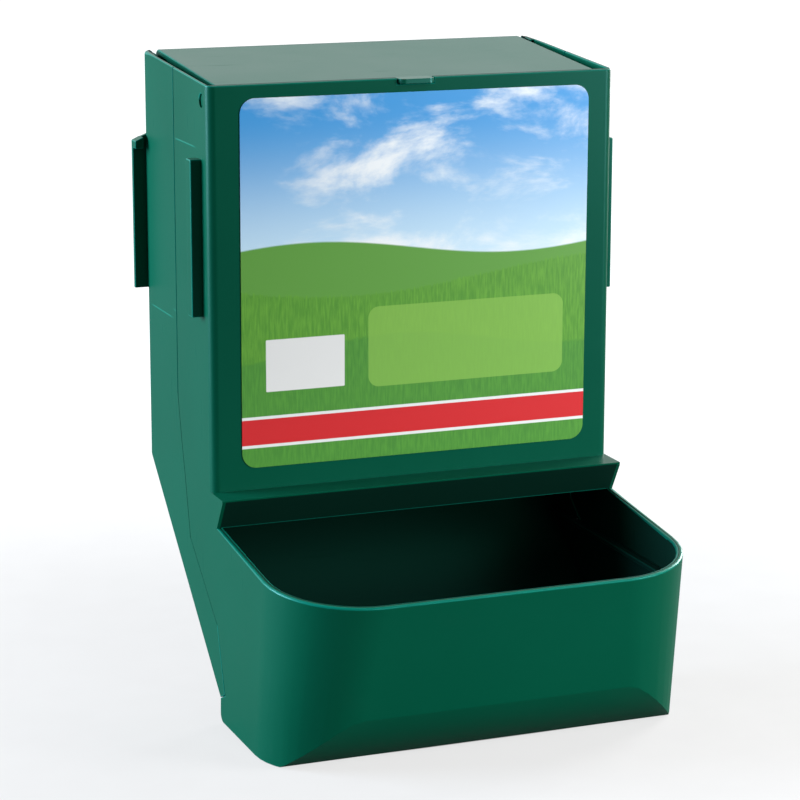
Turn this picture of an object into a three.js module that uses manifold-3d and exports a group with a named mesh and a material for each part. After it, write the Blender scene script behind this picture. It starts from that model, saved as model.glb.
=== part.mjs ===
// Gravity bin feeder for rabbits and other small cage animals, in millimetres.
// X runs to the right, Y runs to the back and Z runs up.
// Everything is drawn with the face of the front panel at Y = 0, and moved as one at the end.
import * as THREE from "three";
import { mergeVertices } from "three/addons/utils/BufferGeometryUtils.js";
import Module from "manifold-3d";

const wasm = await Module();
wasm.setup();

// Hopper, the tall box that holds the pellets
const bodyWidth = 140;
const bodyDepth = 71.5;
const frontHeight = 205;
const rearRise = 4.4;
const wall = 2.2;
const frontEdgeRadius = 2.8;
const rearEdgeRadius = 3.5;

// Chute, the sloping back that leads down to the trough
const kneeHeight = 73.4;
const footHeight = 7.9;
const footForward = 8.2;
const heelRadius = 3;

// Ledge and bib, the fold at the foot of the front panel
const panelFoot = 74;
const ledgeReach = 10.5;
const ledgeLip = 0.9;
const bibReach = 4.5;
const bibHeight = 63.4;

// Trough that the animal eats from
const troughReach = 80.2;
const rimFrontHeight = 55.8;
const troughFootReach = 67.4;
const rimCornerRadius = 30;
const footCornerRadius = 24;
const footFlare = 0.9;
const creaseHeight = 17.2;
const undercutReach = 66;
const undercutHeight = 6.6;
const undercutRadius = 40;
const soleReach = 56.1;

// Seam between the two shells
const seamBack = 36.8;
const seamGap = 0.4;
const seamBend = 100;
const seamMidBack = 33;
const seamMid = 84;
const seamLowBack = 24;
const seamLow = 53;
const seamFootForward = 5;
const seamFoot = 31;
const seamMitreShare = 2;
const lipThickness = 1;
const lipReach = 3.6;
const lipClearance = 0.25;
const lipFoot = 95;
const lipDrop = 11;

// Lid, its rolled rear edge and its pins
const lidThickness = 2;
const lidSideGap = 2.3;
const lidFrontGap = 0.4;
const lidFrontSink = 0.9;
const lidRearRise = 0.5;
const lidCornerRadius = 3.5;
const barrelRadius = 3.3;
const barrelGap = 0.3;
const pinRadius = 1.7;
const pinReach = 1.2;
const socketClearance = 0.25;
const skirtThickness = 1.8;
const skirtDepth = 4;
const skirtFront = 4.6;
const skirtBack = 58;
const rebateWidth = 1.2;
const rebateDepth = 4.6;

// Thumb tab of the lid, and the notch that it passes through
const tabWidth = 12;
const tabReach = 2.1;
const tabThickness = 1.5;
const tabSink = 0.1;
const tabCornerRadius = 2;
const tabClearance = 0.3;

// Snap marks near the front corners of the side walls
const snapBack = 6.3;
const snapDrop = 5.2;
const snapRadius = 2.2;
const snapDepth = 0.6;
const nubRadius = 1.6;
const nubTipRadius = 0.9;
const nubClearance = 0.5;

// Guide ribs on the side walls
const ribFront = 7;
const ribThickness = 4.8;
const ribReach = 3.7;
const ribDrop = 23.8;
const ribLength = 50.7;
const finThickness = 1.6;
const finReach = 4.3;
const finDrop = 30;
const finLength = 50.4;
const capReach = 3.2;
const capDrop = 2.6;
const capRise = 2.6;
const capGap = 1.4;
const dimpleRadius = 1.6;
const dimpleDepth = 1;

// Sifter tray that lies inside the trough
const trayClearance = 0.4;
const trayWall = 1.6;
const trayFloor = 13;
const trayFloorThickness = 2;
const trayTop = 47.5;
const trayFlange = 3;
const trayFlangeThickness = 1.5;
const slotWidth = 2.2;
const slotPitch = 5;
const slotLength = 19;
const slotRowGap = 5;
const slotMargin = 12;
const slotFront = 58;
const legRadius = 2.6;
const legGap = 0.2;
const legSpread = 56;
const legFront = 48;
const legBack = 18;

// Dust slots in the floor of the trough
const drainWidth = 3;
const drainPitch = 8;
const drainLength = 32;
const drainFront = 52;
const drainSpread = 48;

// Mounting bracket, which slides down over two lugs on the back wall and traps the cage wires
const wireGap = 5.5;
const bracketWidth = 126;
const bracketHeight = 31;
const bracketThickness = 2.2;
const bracketFlange = 3.8;
const bracketFlangeThickness = 2;
const bracketTopDrop = 29.9;
const bracketCorner = 3;
const bracketRibCount = 5;
const lugSpread = 38;
const lugWidth = 6;
const lugHeight = 12;
const lugHeadWidth = 12;
const lugHeadThickness = 2.5;
const lugClearance = 0.3;
const lugSlotTop = 12;

// Label on the front panel
const labelWidth = 120.6;
const labelHeight = 119.5;
const labelThickness = 0.3;
const labelRadius = 5;
const labelRight = 0.6;
const labelDrop = 4.45;
const labelTilt = -0.17;

// Overrun of every cut, and how finely arcs are stepped
const overrun = 10;
const arcSteps = 10;
const roundSteps = 32;

// Sizes that follow from those above
const halfWidth = bodyWidth / 2;
const halfInside = halfWidth - wall;
const halfLid = halfInside - lidSideGap;
const backInside = bodyDepth - wall;
const rearHeight = frontHeight + rearRise;
const highest = rearHeight + overrun;
const ribTop = frontHeight - ribDrop;
const finTop = rearHeight - finDrop;
const lipTop = frontHeight - lipDrop;
const labelCentre = frontHeight - labelDrop - labelHeight / 2;

// Plane geometry on points given as pairs
function between(a, b, share) {
  return [a[0] + (b[0] - a[0]) * share, a[1] + (b[1] - a[1]) * share];
}

function shifted(a, b, distance) {
  const run = Math.hypot(b[0] - a[0], b[1] - a[1]);
  const across = [-(b[1] - a[1]) / run, (b[0] - a[0]) / run];
  return [a, b].map((p) => [p[0] + across[0] * distance, p[1] + across[1] * distance]);
}

function atHeight(line, height) {
  const [a, b] = line;
  return between(a, b, (height - a[1]) / (b[1] - a[1]));
}

function atDepth(line, depth) {
  const [a, b] = line;
  return between(a, b, (depth - a[0]) / (b[0] - a[0]));
}

function crossing(line, other) {
  const [a, b] = line;
  const [c, d] = other;
  const run = new THREE.Vector2(b[0] - a[0], b[1] - a[1]);
  const rise = new THREE.Vector2(d[0] - c[0], d[1] - c[1]);
  const gap = new THREE.Vector2(c[0] - a[0], c[1] - a[1]);
  return between(a, b, gap.cross(rise) / run.cross(rise));
}

// An outline whose corners may each carry a radius as a third number
function rounded(corners) {
  const outline = [];
  corners.forEach(([u, v, radius = 0], index) => {
    const corner = new THREE.Vector2(u, v);
    if (radius <= 0) {
      outline.push(corner);
      return;
    }
    const before = corners[(index + corners.length - 1) % corners.length];
    const after = corners[(index + 1) % corners.length];
    const back = new THREE.Vector2(before[0], before[1]).sub(corner);
    const ahead = new THREE.Vector2(after[0], after[1]).sub(corner);
    const room = Math.min(back.length(), ahead.length());
    back.normalize();
    ahead.normalize();
    const half = Math.acos(back.dot(ahead)) / 2;
    const size = Math.min(radius, room * Math.tan(half));
    const inward = back.clone().add(ahead).normalize();
    const centre = corner.clone().addScaledVector(inward, size / Math.sin(half));
    const start = corner.clone().addScaledVector(back, size / Math.tan(half)).sub(centre);
    const finish = corner.clone().addScaledVector(ahead, size / Math.tan(half)).sub(centre);
    const turn = Math.atan2(start.cross(finish), start.dot(finish));
    for (let step = 0; step <= arcSteps; step += 1) {
      const spoke = start.clone().rotateAround(new THREE.Vector2(), turn * step / arcSteps);
      outline.push(spoke.add(centre));
    }
  });
  return outline;
}

// Solids from three.js geometry
function solid(geometry) {
  const bare = geometry.clone();
  bare.deleteAttribute("normal");
  bare.deleteAttribute("uv");
  const welded = mergeVertices(bare);
  const mesh = new wasm.Mesh({
    numProp: 3,
    vertProperties: new Float32Array(welded.attributes.position.array),
    triVerts: new Uint32Array(welded.index.array),
  });
  return new wasm.Manifold(mesh);
}

function extruded(corners, depth) {
  const shape = new THREE.Shape(rounded(corners));
  return new THREE.ExtrudeGeometry(shape, { depth, bevelEnabled: false });
}

// Corners are given as depth and height, and the solid runs from left to right
function acrossX(corners, left, right) {
  const geometry = extruded(corners, right - left);
  const turn = new THREE.Matrix4().makeBasis(
    new THREE.Vector3(0, 1, 0),
    new THREE.Vector3(0, 0, 1),
    new THREE.Vector3(1, 0, 0),
  );
  geometry.applyMatrix4(turn);
  geometry.translate(left, 0, 0);
  return solid(geometry);
}

// Corners are given as width and depth, and the solid stands from bottom to top
function upZ(corners, bottom, top) {
  const geometry = extruded(corners, top - bottom);
  geometry.translate(0, 0, bottom);
  return solid(geometry);
}

// Corners are given as width and height, and the solid runs from near to far
function alongY(corners, near, far) {
  const geometry = extruded(corners, far - near);
  const turn = new THREE.Matrix4().makeBasis(
    new THREE.Vector3(1, 0, 0),
    new THREE.Vector3(0, 0, 1),
    new THREE.Vector3(0, -1, 0),
  );
  geometry.applyMatrix4(turn);
  geometry.translate(0, far, 0);
  return solid(geometry);
}

function block(left, right, near, far, bottom, top) {
  const corners = [[left, near], [right, near], [right, far], [left, far]];
  return upZ(corners, bottom, top);
}

// A round bar along X, with its own radius at each end
function barX(left, right, depth, height, radius, endRadius = radius) {
  const geometry = new THREE.CylinderGeometry(endRadius, radius, right - left, roundSteps);
  geometry.rotateZ(-Math.PI / 2);
  geometry.translate((left + right) / 2, depth, height);
  return solid(geometry);
}

// The same solid on the left, drawn once for the right
function both(right) {
  return right.add(right.mirror([1, 0, 0]));
}

function joined(solids) {
  return solids.reduce((whole, next) => whole.add(next));
}

// A solid between two level outlines with as many points each
function loft(lower, upper, bottom, top) {
  const rings = [rounded(lower), rounded(upper)];
  if (THREE.ShapeUtils.isClockWise(rings[0])) {
    rings.forEach((ring) => ring.reverse());
  }
  const count = rings[0].length;
  const positions = [];
  rings[0].forEach((p) => positions.push(p.x, p.y, bottom));
  rings[1].forEach((p) => positions.push(p.x, p.y, top));
  const index = [];
  THREE.ShapeUtils.triangulateShape(rings[0], []).forEach(([a, b, c]) => {
    index.push(a, c, b);
  });
  THREE.ShapeUtils.triangulateShape(rings[1], []).forEach(([a, b, c]) => {
    index.push(a + count, b + count, c + count);
  });
  for (let here = 0; here < count; here += 1) {
    const next = (here + 1) % count;
    index.push(here, next, next + count);
    index.push(here, next + count, here + count);
  }
  const geometry = new THREE.BufferGeometry();
  geometry.setAttribute("position", new THREE.Float32BufferAttribute(positions, 3));
  geometry.setIndex(index);
  return solid(geometry);
}

// Materials, as seen on the real feeder
const shellPlastic = { color: 0x0a5a47, roughness: 0.42, metalness: 0 };
const darkPlastic = { color: 0x084a3b, roughness: 0.5, metalness: 0 };
const lidPlastic = { color: 0x0c614e, roughness: 0.35, metalness: 0 };
const labelFilm = { color: 0xa9d3e6, roughness: 0.3, metalness: 0 };

function piece(name, shape, look) {
  const mesh = shape.getMesh();
  const corners = new Float32Array(mesh.vertProperties);
  const geometry = new THREE.BufferGeometry();
  geometry.setAttribute("position", new THREE.BufferAttribute(corners, 3));
  geometry.setIndex(new THREE.BufferAttribute(new Uint32Array(mesh.triVerts), 1));
  geometry.computeVertexNormals();
  const made = new THREE.Mesh(geometry, new THREE.MeshStandardMaterial(look));
  made.name = name;
  return made;
}

// Lines of the side view
const topLine = [[0, frontHeight], [bodyDepth, rearHeight]];
const leanLine = [[-troughFootReach, 0], [-troughReach, rimFrontHeight]];
const chuteLine = [[-footForward, footHeight], [bodyDepth, kneeHeight]];
const bibLine = [[-ledgeReach, panelFoot - ledgeLip], [-bibReach, bibHeight]];
const rimLine = [[-bibReach, bibHeight], [-troughReach, rimFrontHeight]];
const innerLean = shifted(...leanLine, -wall);
const innerChute = shifted(...chuteLine, wall);
const innerBib = shifted(...bibLine, wall);

// Plan outline of the foot at one height, drawn in by an inset all round
function footPlan(height, inset) {
  const share = height / rimFrontHeight;
  const reach = troughFootReach + (troughReach - troughFootReach) * share - inset;
  const radius = footCornerRadius + (rimCornerRadius - footCornerRadius) * share - inset;
  const half = halfWidth + footFlare * (1 - height / panelFoot) - inset;
  const back = bodyDepth - inset;
  const rear = Math.max(rearEdgeRadius - inset, 0);
  return [[-half, -reach, radius], [half, -reach, radius], [half, back, rear], [-half, back, rear]];
}

// Side view of the foot: below the crease its front turns under, in a shallow curve, to the flat sole
function undercut(inset) {
  const corner = [-undercutReach, undercutHeight];
  const upper = shifted(atHeight(leanLine, creaseHeight), corner, inset);
  const lower = shifted(corner, [-soleReach, 0], inset);
  return acrossX([
    [-troughReach - overrun, highest],
    [-troughReach - overrun, creaseHeight + overrun],
    atHeight(upper, creaseHeight + overrun),
    [...crossing(upper, lower), undercutRadius - inset],
    atHeight(lower, -overrun),
    [bodyDepth + overrun, -overrun],
    [bodyDepth + overrun, highest],
  ], -halfWidth - footFlare, halfWidth + footFlare);
}

function footLoft(inset, bottom, top) {
  return loft(footPlan(bottom, inset), footPlan(top, inset), bottom, top).intersect(undercut(inset));
}

// The body as one full solid
function bodyBlank() {
  const side = [
    topLine[0],
    [0, panelFoot],
    [-ledgeReach, panelFoot],
    bibLine[0],
    bibLine[1],
    rimLine[1],
    leanLine[0],
    [-footForward, 0, heelRadius],
    chuteLine[0],
    chuteLine[1],
    topLine[1],
  ];
  const upper = upZ([
    [-halfWidth, 0, frontEdgeRadius],
    [halfWidth, 0, frontEdgeRadius],
    [halfWidth, bodyDepth, rearEdgeRadius],
    [-halfWidth, bodyDepth, rearEdgeRadius],
  ], panelFoot, highest);
  const plan = footLoft(0, 0, panelFoot).add(upper);
  return acrossX(side, -halfWidth - footFlare, halfWidth + footFlare).intersect(plan);
}

// The room inside the body
function bodyHollow() {
  const innerFoot = -footForward - wall;
  const side = [
    [wall, highest],
    [wall, panelFoot - wall],
    atHeight(innerBib, panelFoot - wall),
    innerBib[1],
    bibLine[1],
    atHeight(innerLean, bibHeight),
    atHeight(innerLean, wall),
    [innerFoot, wall],
    atDepth(innerChute, innerFoot),
    atDepth(innerChute, backInside),
    [backInside, highest],
  ];
  const upper = upZ([
    [-halfInside, 0],
    [halfInside, 0],
    [halfInside, backInside, rearEdgeRadius - wall],
    [-halfInside, backInside, rearEdgeRadius - wall],
  ], panelFoot, highest);
  const plan = footLoft(wall, 0, panelFoot).add(upper);
  return acrossX(side, -halfWidth, halfWidth).intersect(plan);
}

// Everything that belongs to the rear shell, behind the seam
function behindSeam(forward) {
  const heel = chuteLine[0];
  const inside = atDepth(innerChute, heel[0] - wall);
  const corners = [
    [seamBack, highest],
    [seamBack, seamBend],
    [seamMidBack, seamMid],
    [seamLowBack, seamLow],
    [-seamFootForward, seamFoot],
    between(heel, inside, seamMitreShare),
    between(heel, inside, -seamMitreShare),
    [bodyDepth + overrun, heel[1] - wall],
    [bodyDepth + overrun, highest],
  ];
  return acrossX(corners.map(([y, z]) => [y - forward, z]), -halfWidth - overrun, halfWidth + overrun);
}

// Top of the lid in the side view, and the axis that it turns on
const lidFront = wall + lidFrontGap;
const lidBack = bodyDepth - barrelGap;
const lidTopLine = [
  [lidFront, atDepth(topLine, lidFront)[1] - lidFrontSink],
  [lidBack, atDepth(topLine, lidBack)[1] + lidRearRise],
];
const lidAxisLine = shifted(...lidTopLine, -barrelRadius);
const lidUnderLine = shifted(...lidTopLine, -lidThickness);
const [hingeDepth, hingeHeight] = atDepth(lidAxisLine, lidBack - barrelRadius);
const tabTop = frontHeight - tabSink;
const snapHeight = frontHeight - snapDrop;

// Step along the top of each side wall, where the lid's edge lies
function lidRebate() {
  const topFront = atDepth(topLine, wall);
  const topBack = atDepth(topLine, lidBack - 2 * barrelRadius - wall);
  return acrossX([
    [topFront[0], topFront[1] - rebateDepth],
    [topBack[0], topBack[1] - rebateDepth],
    [topBack[0], highest],
    [topFront[0], highest],
  ], halfInside - overrun, halfInside + rebateWidth);
}

const shell = bodyBlank().subtract(bodyHollow()).subtract(both(lidRebate()));

// Front shell: panel, ledge, bib, trough and the front halves of the side walls
function frontShell() {
  const half = tabWidth / 2 + tabClearance;
  const notchFoot = tabTop - tabThickness - tabClearance;
  const notch = block(-half, half, -overrun, lidFront, notchFoot, highest);
  const rib = block(
    halfInside + wall / 2, halfWidth + ribReach,
    ribFront, ribFront + ribThickness,
    ribTop - ribLength, ribTop,
  );
  const mark = barX(halfWidth - snapDepth, halfWidth + overrun, snapBack, snapHeight, snapRadius);
  const drains = [];
  const count = Math.floor(2 * drainSpread / drainPitch);
  for (let step = 0; step <= count; step += 1) {
    const left = (step - count / 2) * drainPitch - drainWidth / 2;
    const near = -drainFront;
    drains.push(block(
      left, left + drainWidth,
      near, near + drainLength,
      -overrun, wall + overrun / 2,
    ));
  }
  return shell
    .subtract(behindSeam(seamGap))
    .add(both(rib))
    .subtract(both(mark))
    .subtract(notch)
    .subtract(joined(drains));
}

// One of the T-shaped lugs on the back wall
const bracketFront = bodyDepth + wireGap;
const bracketBack = bracketFront + bracketThickness + bracketFlange;
const bracketTop = rearHeight - bracketTopDrop;
const bracketFoot = bracketTop - bracketHeight;
function lug() {
  const top = bracketTop - lugSlotTop - lugClearance;
  const headFront = bracketFront + bracketThickness + lugClearance;
  const neck = block(
    lugSpread - lugWidth / 2, lugSpread + lugWidth / 2,
    bodyDepth - wall / 2, headFront + lugHeadThickness / 2,
    top - lugHeight, top,
  );
  const head = block(
    lugSpread - lugHeadWidth / 2, lugSpread + lugHeadWidth / 2,
    headFront, headFront + lugHeadThickness,
    top - lugHeight, top,
  );
  return neck.add(head);
}

// Rear shell: back wall, chute, rear halves of the side walls and the locating lips
function rearShell() {
  const relief = block(
    -halfInside, halfInside,
    backInside - wall, bodyDepth + overrun,
    hingeHeight - barrelRadius - barrelGap, highest,
  );
  const socketEnd = halfInside + pinReach + socketClearance;
  const socketRadius = pinRadius + socketClearance;
  const socket = barX(halfInside - wall, socketEnd, hingeDepth, hingeHeight, socketRadius);
  const fin = block(
    halfInside, halfWidth + finReach,
    bodyDepth - finThickness, bodyDepth,
    finTop - finLength, finTop,
  );
  const finOuter = halfWidth + finReach;
  const finFront = bodyDepth - finThickness;
  const finSlope = alongY([
    [halfInside, finTop - finThickness],
    [finOuter, finTop - finThickness],
    [finOuter, finTop],
    [halfInside, finTop + capRise],
  ], finFront, bodyDepth);
  const cap = alongY([
    [halfWidth + capGap, finTop - capDrop],
    [finOuter, finTop - capDrop],
    [finOuter, finTop],
    [halfWidth + capGap, finTop + capRise / 2],
  ], finFront - capReach, bodyDepth);
  const dimpleDepthLine = finFront - dimpleRadius;
  const dimple = barX(halfWidth - dimpleDepth, halfWidth + overrun, dimpleDepthLine, finTop, dimpleRadius);
  const lipOuter = halfInside - lipClearance;
  const lipInner = lipOuter - lipThickness;
  const lipBack = seamBack + lipReach;
  const lip = joined([
    block(lipInner, lipOuter, seamBack - lipReach, lipBack, lipFoot, lipTop),
    block(lipInner, halfInside + wall / 2, seamBack + seamGap, lipBack, lipFoot, lipTop),
  ]);
  return shell
    .intersect(behindSeam(0))
    .subtract(both(dimple))
    .add(both(fin))
    .add(both(finSlope))
    .add(both(cap))
    .add(both(lip))
    .add(both(lug()))
    .subtract(relief)
    .subtract(both(socket));
}

// Lid: a thin plate with skirts, a thumb tab, a rolled rear edge and two stub pins
function lid() {
  const axis = [hingeDepth, hingeHeight];
  const above = atDepth(lidTopLine, hingeDepth);
  const below = atDepth(lidUnderLine, hingeDepth);
  const plate = acrossX([lidTopLine[0], above, below, lidUnderLine[0]], -halfLid, halfLid);
  const plan = upZ([
    [-halfLid, lidFront, lidCornerRadius],
    [halfLid, lidFront, lidCornerRadius],
    [halfLid, bodyDepth],
    [-halfLid, bodyDepth],
  ], panelFoot, highest);
  const middleLine = shifted(...lidTopLine, -lidThickness / 2);
  const skirtLine = shifted(...lidTopLine, -lidThickness - skirtDepth);
  const skirt = acrossX([
    atDepth(middleLine, skirtFront),
    atDepth(middleLine, skirtBack),
    [...atDepth(skirtLine, skirtBack), skirtThickness],
    atDepth(skirtLine, skirtFront),
  ], halfLid - skirtThickness, halfLid);
  const tab = upZ([
    [-tabWidth / 2, lidFront + lidThickness],
    [-tabWidth / 2, -tabReach, tabCornerRadius],
    [tabWidth / 2, -tabReach, tabCornerRadius],
    [tabWidth / 2, lidFront + lidThickness],
  ], tabTop - tabThickness, tabTop);
  const barrel = barX(-halfLid, halfLid, axis[0], axis[1], barrelRadius);
  const pin = barX(halfLid - lidSideGap, halfInside + pinReach, axis[0], axis[1], pinRadius);
  const nubRoot = halfLid - skirtThickness / 2;
  const nubEnd = halfInside - nubClearance;
  const nub = barX(nubRoot, nubEnd, snapBack, snapHeight, nubRadius, nubTipRadius);
  return joined([plate.intersect(plan), both(skirt), tab, barrel, both(pin), both(nub)]);
}

// Sifter tray: slotted floor, side walls with an inward flange, and four short legs
function sifterTray() {
  const guard = shifted(...innerChute, trayClearance);
  const inset = wall + trayClearance;
  const outer = acrossX([
    [-troughReach - overrun, trayFloor],
    atHeight(guard, trayFloor),
    atHeight(guard, trayTop),
    [-troughReach - overrun, trayTop],
  ], -halfWidth, halfWidth).intersect(footLoft(inset, trayFloor, trayTop));
  const floorTop = trayFloor + trayFloorThickness;
  const room = footLoft(inset + trayWall, floorTop, trayTop - trayFlangeThickness);
  const mouth = footLoft(inset + trayFlange, floorTop, trayTop + overrun);
  const slots = [];
  const reach = halfInside - slotMargin;
  const count = Math.floor(2 * reach / slotPitch);
  for (let row = 0; row < 2; row += 1) {
    const near = -slotFront + row * (slotLength + slotRowGap);
    for (let step = 0; step <= count; step += 1) {
      const left = (step - count / 2) * slotPitch - slotWidth / 2;
      slots.push(block(
        left, left + slotWidth,
        near, near + slotLength,
        trayFloor - overrun / 2, trayFloor + overrun / 2,
      ));
    }
  }
  const legFoot = wall + legGap;
  const legTop = trayFloor + trayFloorThickness / 2;
  const legs = [-legSpread, legSpread].flatMap((side) => [legFront, legBack].map((forward) => {
    const leg = new THREE.CylinderGeometry(legRadius, legRadius, legTop - legFoot, roundSteps);
    leg.rotateX(Math.PI / 2);
    leg.translate(side, -forward, (legTop + legFoot) / 2);
    return solid(leg);
  }));
  return joined([outer.subtract(room).subtract(mouth).subtract(joined(slots)), ...legs]);
}

// Mounting bracket: a ribbed cross plate with two slots that are open at the foot
function mountingBracket() {
  const half = bracketWidth / 2;
  const plateBack = bracketFront + bracketThickness;
  const plate = alongY([
    [-half, bracketFoot, bracketCorner],
    [half, bracketFoot, bracketCorner],
    [half, bracketTop, bracketCorner],
    [-half, bracketTop, bracketCorner],
  ], bracketFront, plateBack);
  const flanges = [bracketFoot, bracketTop - bracketFlangeThickness].map((height) => (
    block(
      bracketCorner - half, half - bracketCorner,
      plateBack - bracketThickness / 2, bracketBack,
      height, height + bracketFlangeThickness,
    )
  ));
  const ribs = [];
  for (let step = 0; step < bracketRibCount; step += 1) {
    const reach = half - bracketCorner - bracketFlangeThickness;
    const left = reach * (2 * step / (bracketRibCount - 1) - 1) - bracketFlangeThickness / 2;
    ribs.push(block(
      left, left + bracketFlangeThickness,
      plateBack - bracketThickness / 2, bracketBack,
      bracketFoot, bracketTop,
    ));
  }
  const slotHalf = lugWidth / 2 + lugClearance;
  const headHalf = lugHeadWidth / 2 + lugClearance;
  const slotTop = bracketTop - lugSlotTop;
  const slot = block(
    lugSpread - slotHalf, lugSpread + slotHalf,
    bracketFront - overrun, bracketBack + overrun,
    bracketFoot - overrun, slotTop,
  );
  const headRoom = block(
    lugSpread - headHalf, lugSpread + headHalf,
    plateBack, bracketBack + overrun,
    bracketFoot - overrun, slotTop,
  );
  return joined([plate, ...flanges, ...ribs]).subtract(both(slot)).subtract(both(headRoom));
}

// Label: a thin printed film stuck to the front panel, not quite square to it
function label() {
  const half = [labelWidth / 2, labelHeight / 2];
  const film = alongY([
    [-half[0], -half[1], labelRadius],
    [half[0], -half[1], labelRadius],
    [half[0], half[1], labelRadius],
    [-half[0], half[1], labelRadius],
  ], -labelThickness, 0);
  const made = piece("label", film, labelFilm);
  made.rotation.y = -THREE.MathUtils.degToRad(labelTilt);
  made.position.set(labelRight, 0, labelCentre);
  return made;
}

const feeder = new THREE.Group();
feeder.add(piece("front_shell", frontShell(), shellPlastic));
feeder.add(piece("rear_shell", rearShell(), shellPlastic));
feeder.add(piece("lid", lid(), lidPlastic));
feeder.add(piece("sifter_tray", sifterTray(), darkPlastic));
feeder.add(piece("mounting_bracket", mountingBracket(), shellPlastic));
feeder.add(label());
feeder.position.y = (troughReach - bracketBack) / 2;

export default feeder;
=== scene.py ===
import functools
import math

import bpy
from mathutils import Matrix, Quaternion, Vector


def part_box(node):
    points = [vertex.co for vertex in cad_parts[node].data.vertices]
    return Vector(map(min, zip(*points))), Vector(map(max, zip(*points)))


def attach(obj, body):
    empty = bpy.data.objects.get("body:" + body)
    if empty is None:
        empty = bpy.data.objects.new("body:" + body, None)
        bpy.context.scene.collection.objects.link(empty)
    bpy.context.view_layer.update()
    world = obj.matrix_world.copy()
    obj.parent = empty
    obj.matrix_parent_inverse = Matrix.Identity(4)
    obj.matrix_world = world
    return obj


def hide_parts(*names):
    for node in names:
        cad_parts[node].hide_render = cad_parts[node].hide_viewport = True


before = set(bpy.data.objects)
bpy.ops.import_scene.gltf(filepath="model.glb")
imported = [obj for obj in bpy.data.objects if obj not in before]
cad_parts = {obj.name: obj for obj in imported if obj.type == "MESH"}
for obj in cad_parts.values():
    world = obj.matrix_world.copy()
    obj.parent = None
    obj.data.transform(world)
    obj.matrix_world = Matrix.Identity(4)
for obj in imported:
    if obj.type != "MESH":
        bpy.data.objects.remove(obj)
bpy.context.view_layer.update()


# Front shell. One injection moulding in deep teal polypropylene: panel, ledge, bib and trough,
# with the front halves of the side walls. Its edges are rounded over where the mould parts,
# and its skin is satin, with the fine grain of the mould.
weld_gap = 0.00001
flat_turn = 0.5
folded_turn = 28
smooth_below = 32


def select_only(piece):
    bpy.ops.object.select_all(action="DESELECT")
    piece.select_set(True)
    bpy.context.view_layer.objects.active = piece


def stop_editing():
    bpy.ops.mesh.select_all(action="DESELECT")
    bpy.ops.object.mode_set(mode="OBJECT")


def welded_copy(node):
    """A copy of a node in one skin, with its flat triangles joined."""
    select_only(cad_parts[node])
    bpy.ops.object.duplicate()
    piece = bpy.context.active_object
    piece.name = node + "_moulding"
    piece.data.name = piece.name
    piece.parent = None
    for mark in [key for key in piece.keys() if key.startswith("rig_")]:
        del piece[mark]
    bpy.ops.mesh.customdata_custom_splitnormals_clear()
    bpy.ops.object.mode_set(mode="EDIT")
    bpy.ops.mesh.select_mode(type="EDGE")
    bpy.ops.mesh.select_all(action="SELECT")
    bpy.ops.mesh.remove_doubles(threshold=weld_gap)
    bpy.ops.mesh.dissolve_limited(angle_limit=math.radians(flat_turn))
    stop_editing()
    return piece


def edge_turn(mesh, near, far, start, end):
    """The angle in degrees by which the skin turns over an edge, positive where it stands proud."""
    angle = math.degrees(near.normal.angle(far.normal, 0))
    into_near = near.normal.cross(mesh.vertices[end].co - mesh.vertices[start].co)
    return angle if far.normal.dot(into_near) < 0 else -angle


def select_edges(piece, picked):
    """Opens a piece for editing with each edge selected whose two ends and turn satisfy picked."""
    mesh = piece.data
    beside = {}
    for polygon in mesh.polygons:
        corners = list(polygon.vertices)
        for start, end in zip(corners, corners[1:] + corners[:1]):
            beside.setdefault(tuple(sorted((start, end))), []).append((polygon, start, end))
    chosen = []
    for edge in mesh.edges:
        faces = beside.get(tuple(sorted(edge.vertices)), [])
        if len(faces) != 2:
            continue
        near, start, end = faces[0]
        turn = edge_turn(mesh, near, faces[1][0], start, end)
        if picked(mesh.vertices[start].co, mesh.vertices[end].co, turn):
            chosen.append(edge.index)
    select_only(piece)
    bpy.ops.object.mode_set(mode="EDIT")
    stop_editing()
    for index in chosen:
        mesh.edges[index].select = True
    bpy.ops.object.mode_set(mode="EDIT")


def round_over(piece, radius, picked, steps=3):
    select_edges(piece, picked)
    bpy.ops.mesh.bevel(
        offset=radius, segments=steps, profile=0.5, clamp_overlap=False, material=1)
    stop_editing()


def keep_crisp(piece, picked):
    select_edges(piece, picked)
    bpy.ops.mesh.mark_sharp()
    stop_editing()


def dress(piece, finish, edge_finish):
    piece.data.materials.clear()
    piece.data.materials.append(finish)
    piece.data.materials.append(edge_finish)


def finish_moulding(piece, node, body):
    select_only(piece)
    bpy.ops.object.shade_smooth_by_angle(angle=math.radians(smooth_below))
    bpy.ops.object.modifier_add(type="WEIGHTED_NORMAL")
    piece.modifiers[-1].keep_sharp = True
    bpy.ops.object.modifier_apply(modifier=piece.modifiers[-1].name)
    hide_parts(node)
    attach(piece, body)


def plug_in(tree, socket, given):
    if isinstance(given, bpy.types.NodeSocket):
        tree.links.new(given, socket)
    else:
        socket.default_value = given


def add_node(tree, kind, inputs=None, **settings):
    made = tree.nodes.new(kind)
    for key, setting in settings.items():
        setattr(made, key, setting)
    for key, given in (inputs or {}).items():
        plug_in(tree, made.inputs[key], given)
    return made


def math_node(tree, operation, first, second=0.0, third=0.0):
    made = add_node(tree, "ShaderNodeMath", operation=operation)
    for socket, given in zip(made.inputs, (first, second, third)):
        plug_in(tree, socket, given)
    return made.outputs[0]


def mix_colours(tree, share, first, second):
    made = add_node(tree, "ShaderNodeMix", data_type="RGBA")
    for socket, given in ((0, share), (6, first), (7, second)):
        plug_in(tree, made.inputs[socket], given)
    return made.outputs[2]


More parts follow.
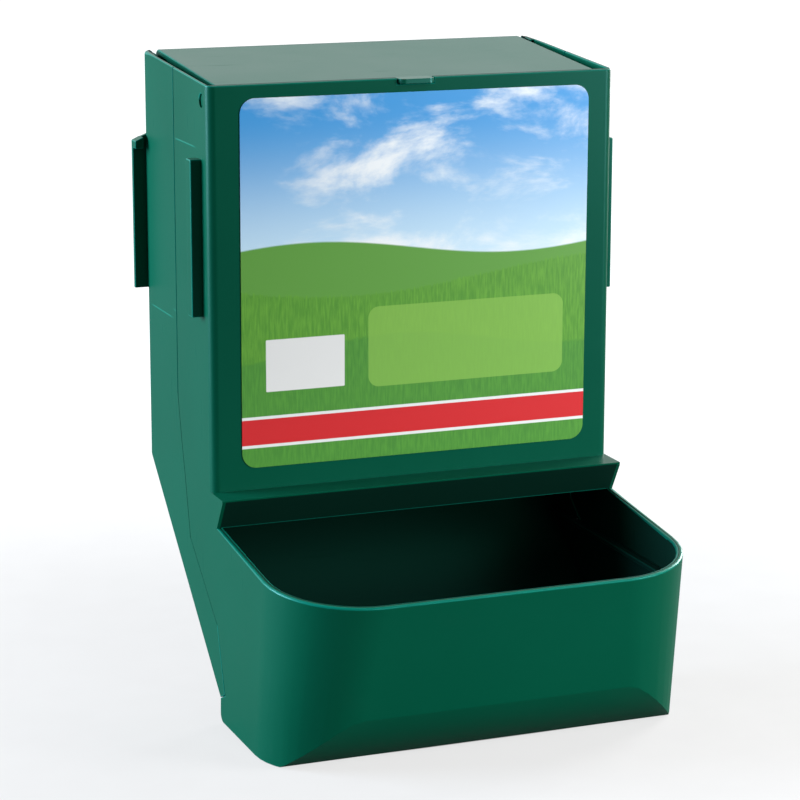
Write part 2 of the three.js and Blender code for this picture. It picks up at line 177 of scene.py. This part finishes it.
def corner_distance(calc, sideways, upward):
    """How far a point lies from a corner's centre, once it is past it."""
    squares = [
        calc("POWER", calc("MAXIMUM", beyond, 0.0), 2.0)
        for beyond in (sideways, upward)
    ]
    return calc("SQRT", calc("ADD", *squares))


def linear(red, green, blue):
    """A colour read from a screen, 0 to 255, as the shader wants it."""
    def channel(level):
        level = level / 255
        return level / 12.92 if level <= 0.04045 else ((level + 0.055) / 1.055) ** 2.4
    return (channel(red), channel(green), channel(blue), 1.0)


# The skin that every moulded plastic here shares: colour clouded from the melt, the fine grain
# of the mould, broad sink marks and a few handling scuffs. The scales are in features per metre.
melt_scale = 22.0
speckle_scale = 900.0
grain_scale = 2600.0
sink_scale = 16.0
scuff_scale = (30.0, 420.0, 60.0)
scuff_turn = (0.3, 0.5, 0.9)
melt_contrast = 0.16
speckle_contrast = 0.06
melt_roughness = 0.10
scuff_roughness = 0.12
sink_depth = 0.0006
grain_depth = 0.00004

mould_skin = bpy.data.node_groups.new("mould_skin", "ShaderNodeTree")
skin_sockets = (
    ("INPUT", "Colour", "NodeSocketColor"),
    ("INPUT", "Grain", "NodeSocketFloat"),
    ("INPUT", "Roughness", "NodeSocketFloat"),
    ("OUTPUT", "Colour", "NodeSocketColor"),
    ("OUTPUT", "Roughness", "NodeSocketFloat"),
    ("OUTPUT", "Normal", "NodeSocketVector"),
)
for way, name, kind in skin_sockets:
    mould_skin.interface.new_socket(name=name, in_out=way, socket_type=kind)
skin_calc = functools.partial(math_node, mould_skin)
skin_in = mould_skin.nodes.new("NodeGroupInput").outputs
skin_out = mould_skin.nodes.new("NodeGroupOutput").inputs
place = mould_skin.nodes.new("ShaderNodeTexCoord").outputs["Object"]
stretched = add_node(mould_skin, "ShaderNodeMapping", {
    "Vector": place, "Rotation": scuff_turn, "Scale": scuff_scale}).outputs[0]


def skin_noise(vector, scale, detail, roughness=0.5):
    made = add_node(mould_skin, "ShaderNodeTexNoise", {
        "Vector": vector, "Scale": scale, "Detail": detail, "Roughness": roughness})
    return made.outputs["Fac"]


melt = skin_noise(place, melt_scale, 4.0, 0.55)
speckle = skin_noise(place, speckle_scale, 2.0)
grain = skin_noise(place, grain_scale, 2.0)
sink = skin_noise(place, sink_scale, 1.0)
scuff = skin_noise(stretched, 1.0, 3.0)
scuffed = add_node(mould_skin, "ShaderNodeMapRange", {
    "Value": scuff, "From Min": 0.66, "From Max": 0.78}).outputs[0]
shade = skin_calc("MULTIPLY_ADD", melt, melt_contrast, 1.0 - melt_contrast / 2)
shade = skin_calc("SUBTRACT", shade, speckle_contrast / 2)
shade = skin_calc("MULTIPLY_ADD", speckle, speckle_contrast, shade)
toned = add_node(mould_skin, "ShaderNodeVectorMath", {
    0: skin_in["Colour"], "Scale": shade}, operation="SCALE")
mould_skin.links.new(toned.outputs[0], skin_out["Colour"])
rough = skin_calc("MULTIPLY_ADD", melt, melt_roughness, skin_in["Roughness"])
rough = skin_calc("MULTIPLY_ADD", scuffed, scuff_roughness, rough)
mould_skin.links.new(rough, skin_out["Roughness"])
broad = add_node(mould_skin, "ShaderNodeBump", {
    "Strength": 0.25, "Distance": sink_depth, "Height": sink}).outputs[0]
fine = add_node(mould_skin, "ShaderNodeBump", {
    "Strength": skin_in["Grain"], "Distance": grain_depth, "Height": grain, "Normal": broad})
mould_skin.links.new(fine.outputs[0], skin_out["Normal"])

# Witness lines, which the mould left on the left side wall, in metres
witness_half = 0.0001
witness_edge = 0.00035
witness_fade = 0.004
witness_relief = 0.0001
left_wall = -0.069
witness_colour = linear(30, 140, 120)
witness_share = 0.3


def witness(tree, place, height, start, end):
    """A faint level line between two depths."""
    calc = functools.partial(math_node, tree)
    parts = add_node(tree, "ShaderNodeSeparateXYZ", {0: place}).outputs
    half_run = (end - start) / 2
    off_line = calc("ABSOLUTE", calc("SUBTRACT", parts["Z"], height))
    from_middle = calc("ABSOLUTE", calc("SUBTRACT", parts["Y"], (start + end) / 2))
    line = add_node(tree, "ShaderNodeMapRange", {
        "Value": off_line, "From Min": witness_half, "From Max": witness_edge,
        "To Min": 1.0, "To Max": 0.0}).outputs[0]
    run = add_node(tree, "ShaderNodeMapRange", {
        "Value": from_middle, "From Min": half_run - witness_fade, "From Max": half_run,
        "To Min": 1.0, "To Max": 0.0}).outputs[0]
    on_left = calc("LESS_THAN", parts["X"], left_wall)
    return calc("MULTIPLY", calc("MULTIPLY", line, run), on_left)


# Sizes of the body that say which faces are inside and get painted shade, in metres, with depth
# measured from the panel
depth_shift = 0.0014
half_wall = 0.0011
body_half, body_depth = 0.070, 0.0715
panel_foot, ledge_foot = 0.074, 0.0735
foot_flare = 0.0009
rim_front_height, rim_reach, rim_corner = 0.0558, 0.0802, 0.030
foot_reach, foot_corner = 0.0674, 0.024
chute_slope, chute_start = 0.8218, 0.0160
undercut_slope, undercut_start = 1.128, -0.0629


def painted_shade_inside(tree, place):
    """1 on the faces inside the body and under its ledge, where painted shade goes."""
    calc = functools.partial(math_node, tree)
    parts = add_node(tree, "ShaderNodeSeparateXYZ", {0: place}).outputs
    width, height = calc("ABSOLUTE", parts["X"]), parts["Z"]
    depth = calc("ADD", parts["Y"], depth_shift)
    low_share = add_node(tree, "ShaderNodeMapRange", {
        "Value": height, "From Max": rim_front_height}).outputs[0]
    reach = calc("MULTIPLY_ADD", low_share, rim_reach - foot_reach, foot_reach)
    corner = calc("MULTIPLY_ADD", low_share, rim_corner - foot_corner, foot_corner)
    half = calc("MULTIPLY_ADD", height, -foot_flare / panel_foot, body_half + foot_flare)
    sideways = calc("SUBTRACT", width, calc("SUBTRACT", half, corner))
    forward = calc("SUBTRACT", calc("MULTIPLY", depth, -1.0), calc("SUBTRACT", reach, corner))
    off_centre = corner_distance(calc, sideways, forward)
    in_trough = calc("LESS_THAN", off_centre, calc("SUBTRACT", corner, half_wall))
    in_trough = calc("MULTIPLY", in_trough, calc("LESS_THAN", height, ledge_foot))
    in_hopper = calc("LESS_THAN", width, body_half - half_wall)
    in_hopper = calc("MULTIPLY", in_hopper, calc("GREATER_THAN", depth, half_wall))
    inside = calc("MAXIMUM", in_trough, in_hopper)
    limits = (
        calc("GREATER_THAN", calc("MULTIPLY_ADD", depth, -chute_slope, height), chute_start),
        calc("GREATER_THAN", calc("MULTIPLY_ADD", depth, undercut_slope, height), undercut_start),
        calc("LESS_THAN", depth, body_depth - half_wall),
        calc("GREATER_THAN", height, half_wall),
    )
    for within in limits:
        inside = calc("MULTIPLY", inside, within)
    return inside


polypropylene_ior = 1.49
satin_sheen = 0.17
sheen_tint = (0.3, 0.95, 1.0, 1.0)
satin_roughness = 0.30
satin_grain = 0.35
# Painted shade inside the body: how dark its faces are made, and how much rougher they are
painted_shade_tone = (1.0, 0.20, 0.19)
inside_dulling = 0.4


def moulded_plastic(name, colour, roughness=satin_roughness, grain_strength=satin_grain,
                    sheen=satin_sheen, lines=(), painted_inside_shade=False):
    """A plastic finish. lines are witness lines, and the last argument darkens the faces inside the
    body and under its ledge with painted shade, and dulls them.
    """
    finish = bpy.data.materials.new(name)
    finish.use_nodes = True
    tree = finish.node_tree
    shader = tree.nodes["Principled BSDF"].inputs
    skin = add_node(tree, "ShaderNodeGroup", node_tree=mould_skin)
    skin.inputs["Colour"].default_value = colour
    skin.inputs["Grain"].default_value = grain_strength
    skin.inputs["Roughness"].default_value = roughness
    shown, rough, normal = skin.outputs
    place = tree.nodes.new("ShaderNodeTexCoord").outputs["Object"]
    for height, start, end in lines:
        mark = witness(tree, place, height, start, end)
        share = math_node(tree, "MULTIPLY", mark, witness_share)
        shown = mix_colours(tree, share, shown, witness_colour)
        normal = add_node(tree, "ShaderNodeBump", {
            "Strength": 0.4, "Distance": witness_relief,
            "Height": mark, "Normal": normal}).outputs[0]
    # Painted shade: the faces inside the body and under the ledge are darkened and made rougher
    if painted_inside_shade:
        inside = painted_shade_inside(tree, place)
        dark = add_node(tree, "ShaderNodeVectorMath", {
            0: shown, 1: painted_shade_tone}, operation="MULTIPLY").outputs[0]
        shown = mix_colours(tree, inside, shown, dark)
        rough = math_node(tree, "MULTIPLY_ADD", inside, inside_dulling, rough)
    tree.links.new(shown, shader["Base Color"])
    tree.links.new(rough, shader["Roughness"])
    tree.links.new(normal, shader["Normal"])
    shader["IOR"].default_value = polypropylene_ior
    shader["Specular IOR Level"].default_value = sheen
    shader["Specular Tint"].default_value = sheen_tint
    return finish


front_lines = ((0.1843, 0.0106, 0.0350),)
teal_plastic = moulded_plastic(
    "teal_polypropylene", linear(0, 70, 50), lines=front_lines, painted_inside_shade=True)
# The rounded edge faces are a lighter teal: partly rubbed wear, partly a painted highlight along
# each edge
teal_edge_wear_and_highlight = moulded_plastic("teal_polypropylene_edge_wear_and_highlight", linear(2, 98, 82), 0.26, 0.15)

front_shell = welded_copy("front_shell")
dress(front_shell, teal_plastic, teal_edge_wear_and_highlight)

# Where the edges of the shells lie, and how far they are rounded, in metres
panel_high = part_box("front_shell")[1].z
panel_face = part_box("label")[1].y
on_face = 0.0002
near_top = 0.002
rim_foot, rim_top, rim_back = 0.05, 0.0705, -0.0045
side_inner, side_outer = 0.0695, 0.0712
seam_foot_depth, seam_back, seam_top = -0.0125, 0.0365, 0.2
chute_outside = 0.0179
mitre_back, mitre_foot, mitre_top = -0.004, 0.004, 0.014
sole_top, crease_top, crease_back = 0.0005, 0.0185, -0.0572
crease_turn = 12
tab_half, tab_room, tab_back = 0.0075, 0.004, 0.0011
rim_radius, rim_steps = 0.0007, 4
panel_top_radius, panel_top_steps = 0.0016, 5
front_radius = 0.0004


def trough_rim(start, end, turn):
    low, high = sorted((start.z, end.z))
    return (turn > folded_turn and rim_foot < low and high < rim_top
            and max(start.y, end.y) < rim_back)


def at_seam(start, end):
    """On the outer edges where the two shells meet, which stay crisp."""
    def near(point):
        on_side = (side_inner < abs(point.x) < side_outer
                   and seam_foot_depth < point.y < seam_back and point.z < seam_top)
        above_chute = point.z - point.y * chute_slope > chute_outside
        at_mitre = seam_foot_depth < point.y < mitre_back and mitre_foot < point.z < mitre_top
        return (on_side and above_chute) or at_mitre
    return near(start) and near(end)


def on_crease(start, end):
    """Where the trough's front turns under to the sole."""
    return (sole_top < max(start.z, end.z) < crease_top
            and max(start.y, end.y) < crease_back)


def foot_crease(start, end, turn):
    return turn > crease_turn and on_crease(start, end)


def panel_top(start, end, turn):
    off_face = max(abs(start.y - panel_face), abs(end.y - panel_face))
    return (turn > folded_turn and min(start.z, end.z) > panel_high - near_top
            and off_face < on_face)


def at_tab(start, end):
    """On the thumb tab of the lid or in its notch, whose edges are moulded sharp."""
    return (max(abs(start.x), abs(end.x)) < tab_half
            and min(start.z, end.z) > panel_high - tab_room
            and max(start.y, end.y) < tab_back)


def front_edge(start, end, turn):
    kept = at_seam(start, end) or on_crease(start, end) or at_tab(start, end)
    return turn > folded_turn and not kept


round_over(front_shell, rim_radius, trough_rim, rim_steps)
round_over(front_shell, panel_top_radius, panel_top, panel_top_steps)
round_over(front_shell, front_radius, front_edge)
keep_crisp(front_shell, foot_crease)
finish_moulding(front_shell, "front_shell", "bin")


# Rear shell. The second moulding: back wall, sloping chute and the rear halves of the side walls.
# It snaps into the front shell along the seam, and carries two fins and the lugs of the bracket.
rear_lines = ((0.1240, 0.0386, 0.0646), (0.1270, 0.0340, 0.0396))
rear_plastic = moulded_plastic(
    "teal_polypropylene_rear", linear(0, 71, 51), lines=rear_lines, painted_inside_shade=True)
rear_shell = welded_copy("rear_shell")
dress(rear_shell, rear_plastic, teal_edge_wear_and_highlight)
shell_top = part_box("rear_shell")[1].z
shell_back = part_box("lid")[1].y
corner_turn = 40
corner_run = 0.0045
corner_radius, corner_steps = 0.0010, 4
rear_radius = 0.0003


def top_rear_corner(start, end, turn):
    return (turn > corner_turn and min(start.z, end.z) > shell_top - near_top
            and min(start.y, end.y) > shell_back - corner_run)


def rear_edge(start, end, turn):
    return turn > folded_turn and not at_seam(start, end)


round_over(rear_shell, corner_radius, top_rear_corner, corner_steps)
round_over(rear_shell, rear_radius, rear_edge)
finish_moulding(rear_shell, "rear_shell", "bin")


# Lid. A thin moulded plate that turns on two stub pins in its rolled rear edge,
# with a thumb tab that lies in the notch of the front panel.
lid_sheen = 0.53
lid_radius = 0.0004
lid_plastic = moulded_plastic("teal_polypropylene_lid", linear(0, 74, 54), sheen=lid_sheen)
lid = welded_copy("lid")
dress(lid, lid_plastic, teal_edge_wear_and_highlight)


def lid_edge(start, end, turn):
    return turn > folded_turn and not at_tab(start, end)


round_over(lid, lid_radius, lid_edge)
finish_moulding(lid, "lid", "lid")


# Sifter tray. A darker matt moulding that lies inside the trough; dust falls through its slots.
# Only its upper edges are rounded.
tray_turn = 50
tray_upper = 0.04
tray_radius = 0.0003
# Its dark colour is partly painted shade, for the shade deep inside the trough
tray_plastic = moulded_plastic("dark_teal_plastic", linear(0, 26, 19), 0.6, 0.5)
# The tray's rounded edge faces are lighter: partly rubbed wear, partly a painted highlight along
# each edge
tray_edge_wear_and_highlight = moulded_plastic("dark_teal_plastic_edge_wear_and_highlight", linear(0, 48, 38), 0.42, 0.3)
sifter_tray = welded_copy("sifter_tray")
dress(sifter_tray, tray_plastic, tray_edge_wear_and_highlight)


def tray_rim(start, end, turn):
    return turn > tray_turn and min(start.z, end.z) > tray_upper


round_over(sifter_tray, tray_radius, tray_rim)
finish_moulding(sifter_tray, "sifter_tray", "bin")


# Mounting bracket. A ribbed cross plate that slides down over the lugs, outside the cage wires.
# It is moulded in the lid's plastic.
bracket_turn = 40
bracket_radius = 0.0003
mounting_bracket = welded_copy("mounting_bracket")
dress(mounting_bracket, lid_plastic, teal_edge_wear_and_highlight)
round_over(mounting_bracket, bracket_radius, lambda start, end, turn: turn > bracket_turn)
finish_moulding(mounting_bracket, "mounting_bracket", "bracket")


# Label. A printed film on the front panel, with rounded corners, stuck on a little askew.
# Its print is a plain landscape: clouded sky, rolling meadow, a red band and two blank boxes.
# Places in the print are shares of the label's width and height.
label_turn = 50
label_radius, label_steps = 0.0001, 2
label_low, label_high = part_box("label")
label_width = label_high.x - label_low.x
label_height = label_high.z - label_low.z

printed_film = bpy.data.materials.new("printed_film")
printed_film.use_nodes = True
print_tree = printed_film.node_tree
film = print_tree.nodes["Principled BSDF"].inputs
calc = functools.partial(math_node, print_tree)
print_over = functools.partial(mix_colours, print_tree)
place = print_tree.nodes.new("ShaderNodeTexCoord").outputs["Object"]
spot = add_node(print_tree, "ShaderNodeSeparateXYZ", {0: place}).outputs
across = calc("DIVIDE", calc("SUBTRACT", spot["X"], label_low.x), label_width)
up = calc("DIVIDE", calc("SUBTRACT", spot["Z"], label_low.z), label_height)


def ramp(value, low, high):
    """0 below low and 1 above high."""
    made = add_node(print_tree, "ShaderNodeMapRange", {
        "Value": value, "From Min": low, "From Max": high}, interpolation_type="SMOOTHSTEP")
    return made.outputs[0]


def hill_top(level, swell, waves, start):
    """Height of a rolling skyline across the label."""
    angle = calc("MULTIPLY_ADD", across, waves, start)
    return calc("MULTIPLY_ADD", calc("SINE", angle), swell, level)


def below(skyline, softness=0.006):
    return calc("SUBTRACT", 1.0, ramp(calc("SUBTRACT", up, skyline), 0.0, softness))


def box_mask(left, right, low, high, corner, softness=0.002):
    """A rounded rectangle, with its corner in shares of the label's width."""
    def past(along, first, last):
        from_middle = calc("ABSOLUTE", calc("SUBTRACT", along, (first + last) / 2))
        return calc("SUBTRACT", from_middle, (last - first) / 2 - corner)
    outside = corner_distance(calc, past(across, left, right), past(up, low, high))
    return calc("SUBTRACT", 1.0, ramp(outside, corner, corner + softness))


def print_noise(scale, detail, offset=(0.0, 0.0, 0.0), roughness=0.5, distortion=0.0):
    """Noise stretched over the label, with its scale along each axis in features per metre."""
    stretched = add_node(print_tree, "ShaderNodeMapping", {
        "Vector": place, "Scale": scale, "Location": offset}).outputs[0]
    made = add_node(print_tree, "ShaderNodeTexNoise", {
        "Vector": stretched, "Scale": 1.0, "Detail": detail,
        "Roughness": roughness, "Distortion": distortion})
    return made.outputs["Fac"]


low_sky, high_sky = linear(196, 224, 240), linear(54, 146, 212)
cloud_white = linear(232, 238, 242)
far_hill = linear(88, 148, 58)
dark_meadow, light_meadow = linear(72, 136, 40), linear(96, 158, 50)
dark_field, light_field = linear(62, 128, 44), linear(78, 146, 50)
band_white, band_red = linear(218, 222, 222), linear(196, 28, 34)
box_green, box_white = linear(126, 178, 74), linear(216, 218, 218)
tuft_height = 0.03
past_left, past_right = -0.1, 1.1
band_low, band_high = 0.058, 0.142
stripe_low, stripe_high = 0.066, 0.134
crisp_corner = 0.001
green_share = 0.72

cloud = print_noise((26.0, 1.0, 52.0), 7.0, (2.0, 0.0, 5.0), 0.58, 0.3)
grass = print_noise((1500.0, 1.0, 170.0), 3.0)
tuft = calc("MULTIPLY", grass, tuft_height)
blade = ramp(grass, 0.3, 0.75)
meadow_top = calc("ADD", hill_top(0.475, 0.038, 4.1, 3.4), tuft)
field_top = calc("ADD", hill_top(0.295, 0.030, 6.0, 5.2), tuft)
art = print_over(ramp(up, 0.48, 0.98), low_sky, high_sky)
art = print_over(ramp(cloud, 0.46, 0.68), art, cloud_white)
art = print_over(below(hill_top(0.575, 0.030, 5.2, 0.6)), art, far_hill)
art = print_over(below(meadow_top), art, print_over(blade, dark_meadow, light_meadow))
art = print_over(below(field_top), art, print_over(blade, dark_field, light_field))
band = box_mask(past_left, past_right, band_low, band_high, crisp_corner)
art = print_over(band, art, band_white)
stripe = box_mask(past_left, past_right, stripe_low, stripe_high, crisp_corner)
art = print_over(stripe, art, band_red)
green_box = calc("MULTIPLY", box_mask(0.36, 0.93, 0.20, 0.42, 0.03), green_share)
art = print_over(green_box, art, box_green)
white_box = box_mask(0.07, 0.29, 0.21, 0.35, 0.002)
art = print_over(white_box, art, box_white)
print_tree.links.new(art, film["Base Color"])

film_grain = add_node(print_tree, "ShaderNodeTexNoise", {
    "Vector": place, "Scale": 1400.0, "Detail": 2.0}).outputs["Fac"]
film_waves = add_node(print_tree, "ShaderNodeTexNoise", {
    "Vector": place, "Scale": 30.0, "Detail": 2.0}).outputs["Fac"]
film_bump = add_node(print_tree, "ShaderNodeBump", {
    "Strength": 0.2, "Distance": 0.0003, "Height": film_waves}).outputs[0]
print_tree.links.new(calc("MULTIPLY_ADD", film_grain, 0.12, 0.30), film["Roughness"])
print_tree.links.new(film_bump, film["Normal"])
film["Specular IOR Level"].default_value = 0.4

label = welded_copy("label")
dress(label, printed_film, printed_film)
round_over(label, label_radius, lambda start, end, turn: turn > label_turn, label_steps)
finish_moulding(label, "label", "bin")


# Floor. Pale paper that the feeder stands on. To the camera it glows up to white, less so near
# the feeder, and not at all under the sole, where it would show through the dust slots.
floor_size = 12
floor_drop = 0.0003
paper_dark, paper_light = (0.11, 0.11, 0.11, 1), (0.13, 0.13, 0.13, 1)
sole_half_width, sole_half_depth, sole_middle = 0.064, 0.0195, 0.0375

bpy.ops.object.select_all(action="DESELECT")
bpy.ops.mesh.primitive_plane_add(size=floor_size, location=(0, 0, -floor_drop))
floor = bpy.context.active_object
floor.name = "floor"
floor_finish = bpy.data.materials.new("floor_paper")
floor_finish.use_nodes = True
floor_tree = floor_finish.node_tree
floor_calc = functools.partial(math_node, floor_tree)
floor_shader = floor_tree.nodes["Principled BSDF"].inputs
floor_place = floor_tree.nodes.new("ShaderNodeTexCoord").outputs["Object"]
paper = add_node(floor_tree, "ShaderNodeTexNoise", {
    "Vector": floor_place, "Scale": 60.0, "Detail": 2.0}).outputs["Fac"]
paper_colour = mix_colours(floor_tree, paper, paper_dark, paper_light)
floor_tree.links.new(paper_colour, floor_shader["Base Color"])
floor_shader["Roughness"].default_value = 0.9
floor_shader["Specular IOR Level"].default_value = 0.0
away = add_node(floor_tree, "ShaderNodeVectorMath", {0: floor_place}, operation="LENGTH")
glow = add_node(floor_tree, "ShaderNodeMapRange", {
    "Value": away.outputs["Value"], "From Min": 0.08, "From Max": 0.5,
    "To Min": 0.70, "To Max": 1.0}, interpolation_type="SMOOTHSTEP").outputs[0]
floor_spot = add_node(floor_tree, "ShaderNodeSeparateXYZ", {0: floor_place}).outputs


def off_sole(distance, half):
    return floor_calc("POWER", floor_calc("DIVIDE", floor_calc("ABSOLUTE", distance), half), 4.0)


aside = off_sole(floor_spot["X"], sole_half_width)
along = off_sole(floor_calc("ADD", floor_spot["Y"], sole_middle), sole_half_depth)
uncovered = add_node(floor_tree, "ShaderNodeMapRange", {
    "Value": floor_calc("ADD", aside, along), "From Min": 0.82, "From Max": 1.08},
    interpolation_type="SMOOTHSTEP").outputs[0]
floor_rays = floor_tree.nodes.new("ShaderNodeLightPath").outputs
seen = floor_calc("MULTIPLY", uncovered, floor_rays["Is Camera Ray"])
floor_shader["Emission Color"].default_value = (1, 1, 1, 1)
floor_tree.links.new(floor_calc("MULTIPLY", seen, glow), floor_shader["Emission Strength"])
floor.data.materials.append(floor_finish)


# Lamps and backdrop. A strong softbox behind the left side and a weaker one behind the right,
# a soft one high in front, a low gridded strip that lights the trough's front,
# and a small one at the right front that puts the sheen on the panel.
open_spread = 180
grid_spread = 26


def softbox(name, width, height, power, place, aim, tint=(1, 1, 1), spread=open_spread):
    data = bpy.data.lights.new(name, "AREA")
    data.shape = "RECTANGLE"
    data.size = width
    data.size_y = height
    data.energy = power
    data.color = tint
    data.spread = math.radians(spread)
    lamp = bpy.data.objects.new(name, data)
    bpy.context.scene.collection.objects.link(lamp)
    lamp.location = place
    lamp.rotation_euler = (Vector(place) - Vector(aim)).to_track_quat("Z", "Y").to_euler()
    lamp.visible_camera = False


body_middle = (0, 0, 0.1)
cool_tint = (0.84, 1.0, 1.2)
softbox("left_softbox", 1.6, 1.6, 210, (-2.35, 1.0, 0.72), body_middle, cool_tint)
softbox("right_rear_softbox", 1.0, 1.2, 80, (1.8, 0.9, 0.7), body_middle)
softbox("front_softbox", 0.9, 0.7, 8.5, (1.15, -1.15, 1.25), body_middle)
softbox("low_front_softbox", 0.3, 0.08, 0.08, (0.10, -0.62, 0.17), (0, -0.08, 0.015),
        spread=grid_spread)
softbox("right_front_softbox", 0.24, 0.30, 4.3, (0.44, -0.43, 0.25), (0.03, -0.02, 0.16))

fill_strength = 0.24
world = bpy.data.worlds.new("studio")
bpy.context.scene.world = world
world.use_nodes = True
sky_tree = world.node_tree
sky_calc = functools.partial(math_node, sky_tree)
backdrop = sky_tree.nodes["Background"].inputs
rays = sky_tree.nodes.new("ShaderNodeLightPath").outputs
way_out = sky_tree.nodes.new("ShaderNodeTexCoord").outputs["Generated"]
facing = add_node(sky_tree, "ShaderNodeSeparateXYZ", {0: way_out}).outputs["Y"]
behind = add_node(sky_tree, "ShaderNodeMapRange", {
    "Value": facing, "From Min": -0.5, "From Max": 0.6,
    "To Min": 0.12, "To Max": 1.0}).outputs[0]
mirrored = sky_calc("MULTIPLY", behind, rays["Is Glossy Ray"])
fill = sky_calc("MULTIPLY", rays["Is Diffuse Ray"], fill_strength)
level = sky_calc("MAXIMUM", sky_calc("MAXIMUM", mirrored, fill), rays["Is Camera Ray"])
sky_tree.links.new(level, backdrop["Strength"])
backdrop["Color"].default_value = (1, 1, 1, 1)


# Camera. It stands left of the middle and a little above, at the photograph's viewing angle,
# with a long lens. Its lens and shift follow from a frame of 800 by 800.
look_at = Vector((0.0, -0.0014, 0.105))
azimuth = -0.37899
elevation = 0.2232
distance = 0.92309
roll = 0.00284
frame_pixels = 800
focal_pixels = 2814.7
right_pixels, up_pixels = -15.03, -17.83
sensor_width = 36
near_limit = 0.05

toward_camera = Vector((
    math.sin(azimuth) * math.cos(elevation),
    -math.cos(azimuth) * math.cos(elevation),
    math.sin(elevation),
))
rolled = Quaternion((0, 0, 1), roll)
camera_data = bpy.data.cameras.new("camera")
camera = bpy.data.objects.new("camera", camera_data)
bpy.context.scene.collection.objects.link(camera)
camera.location = look_at + toward_camera * distance
camera.rotation_euler = (toward_camera.to_track_quat("Z", "Y") @ rolled).to_euler()
camera_data.sensor_width = sensor_width
camera_data.lens = focal_pixels * sensor_width / frame_pixels
camera_data.shift_x = right_pixels / frame_pixels
camera_data.shift_y = up_pixels / frame_pixels
camera_data.clip_start = near_limit
bpy.context.scene.camera = camera
bpy.context.scene.view_settings.view_transform = "Standard"
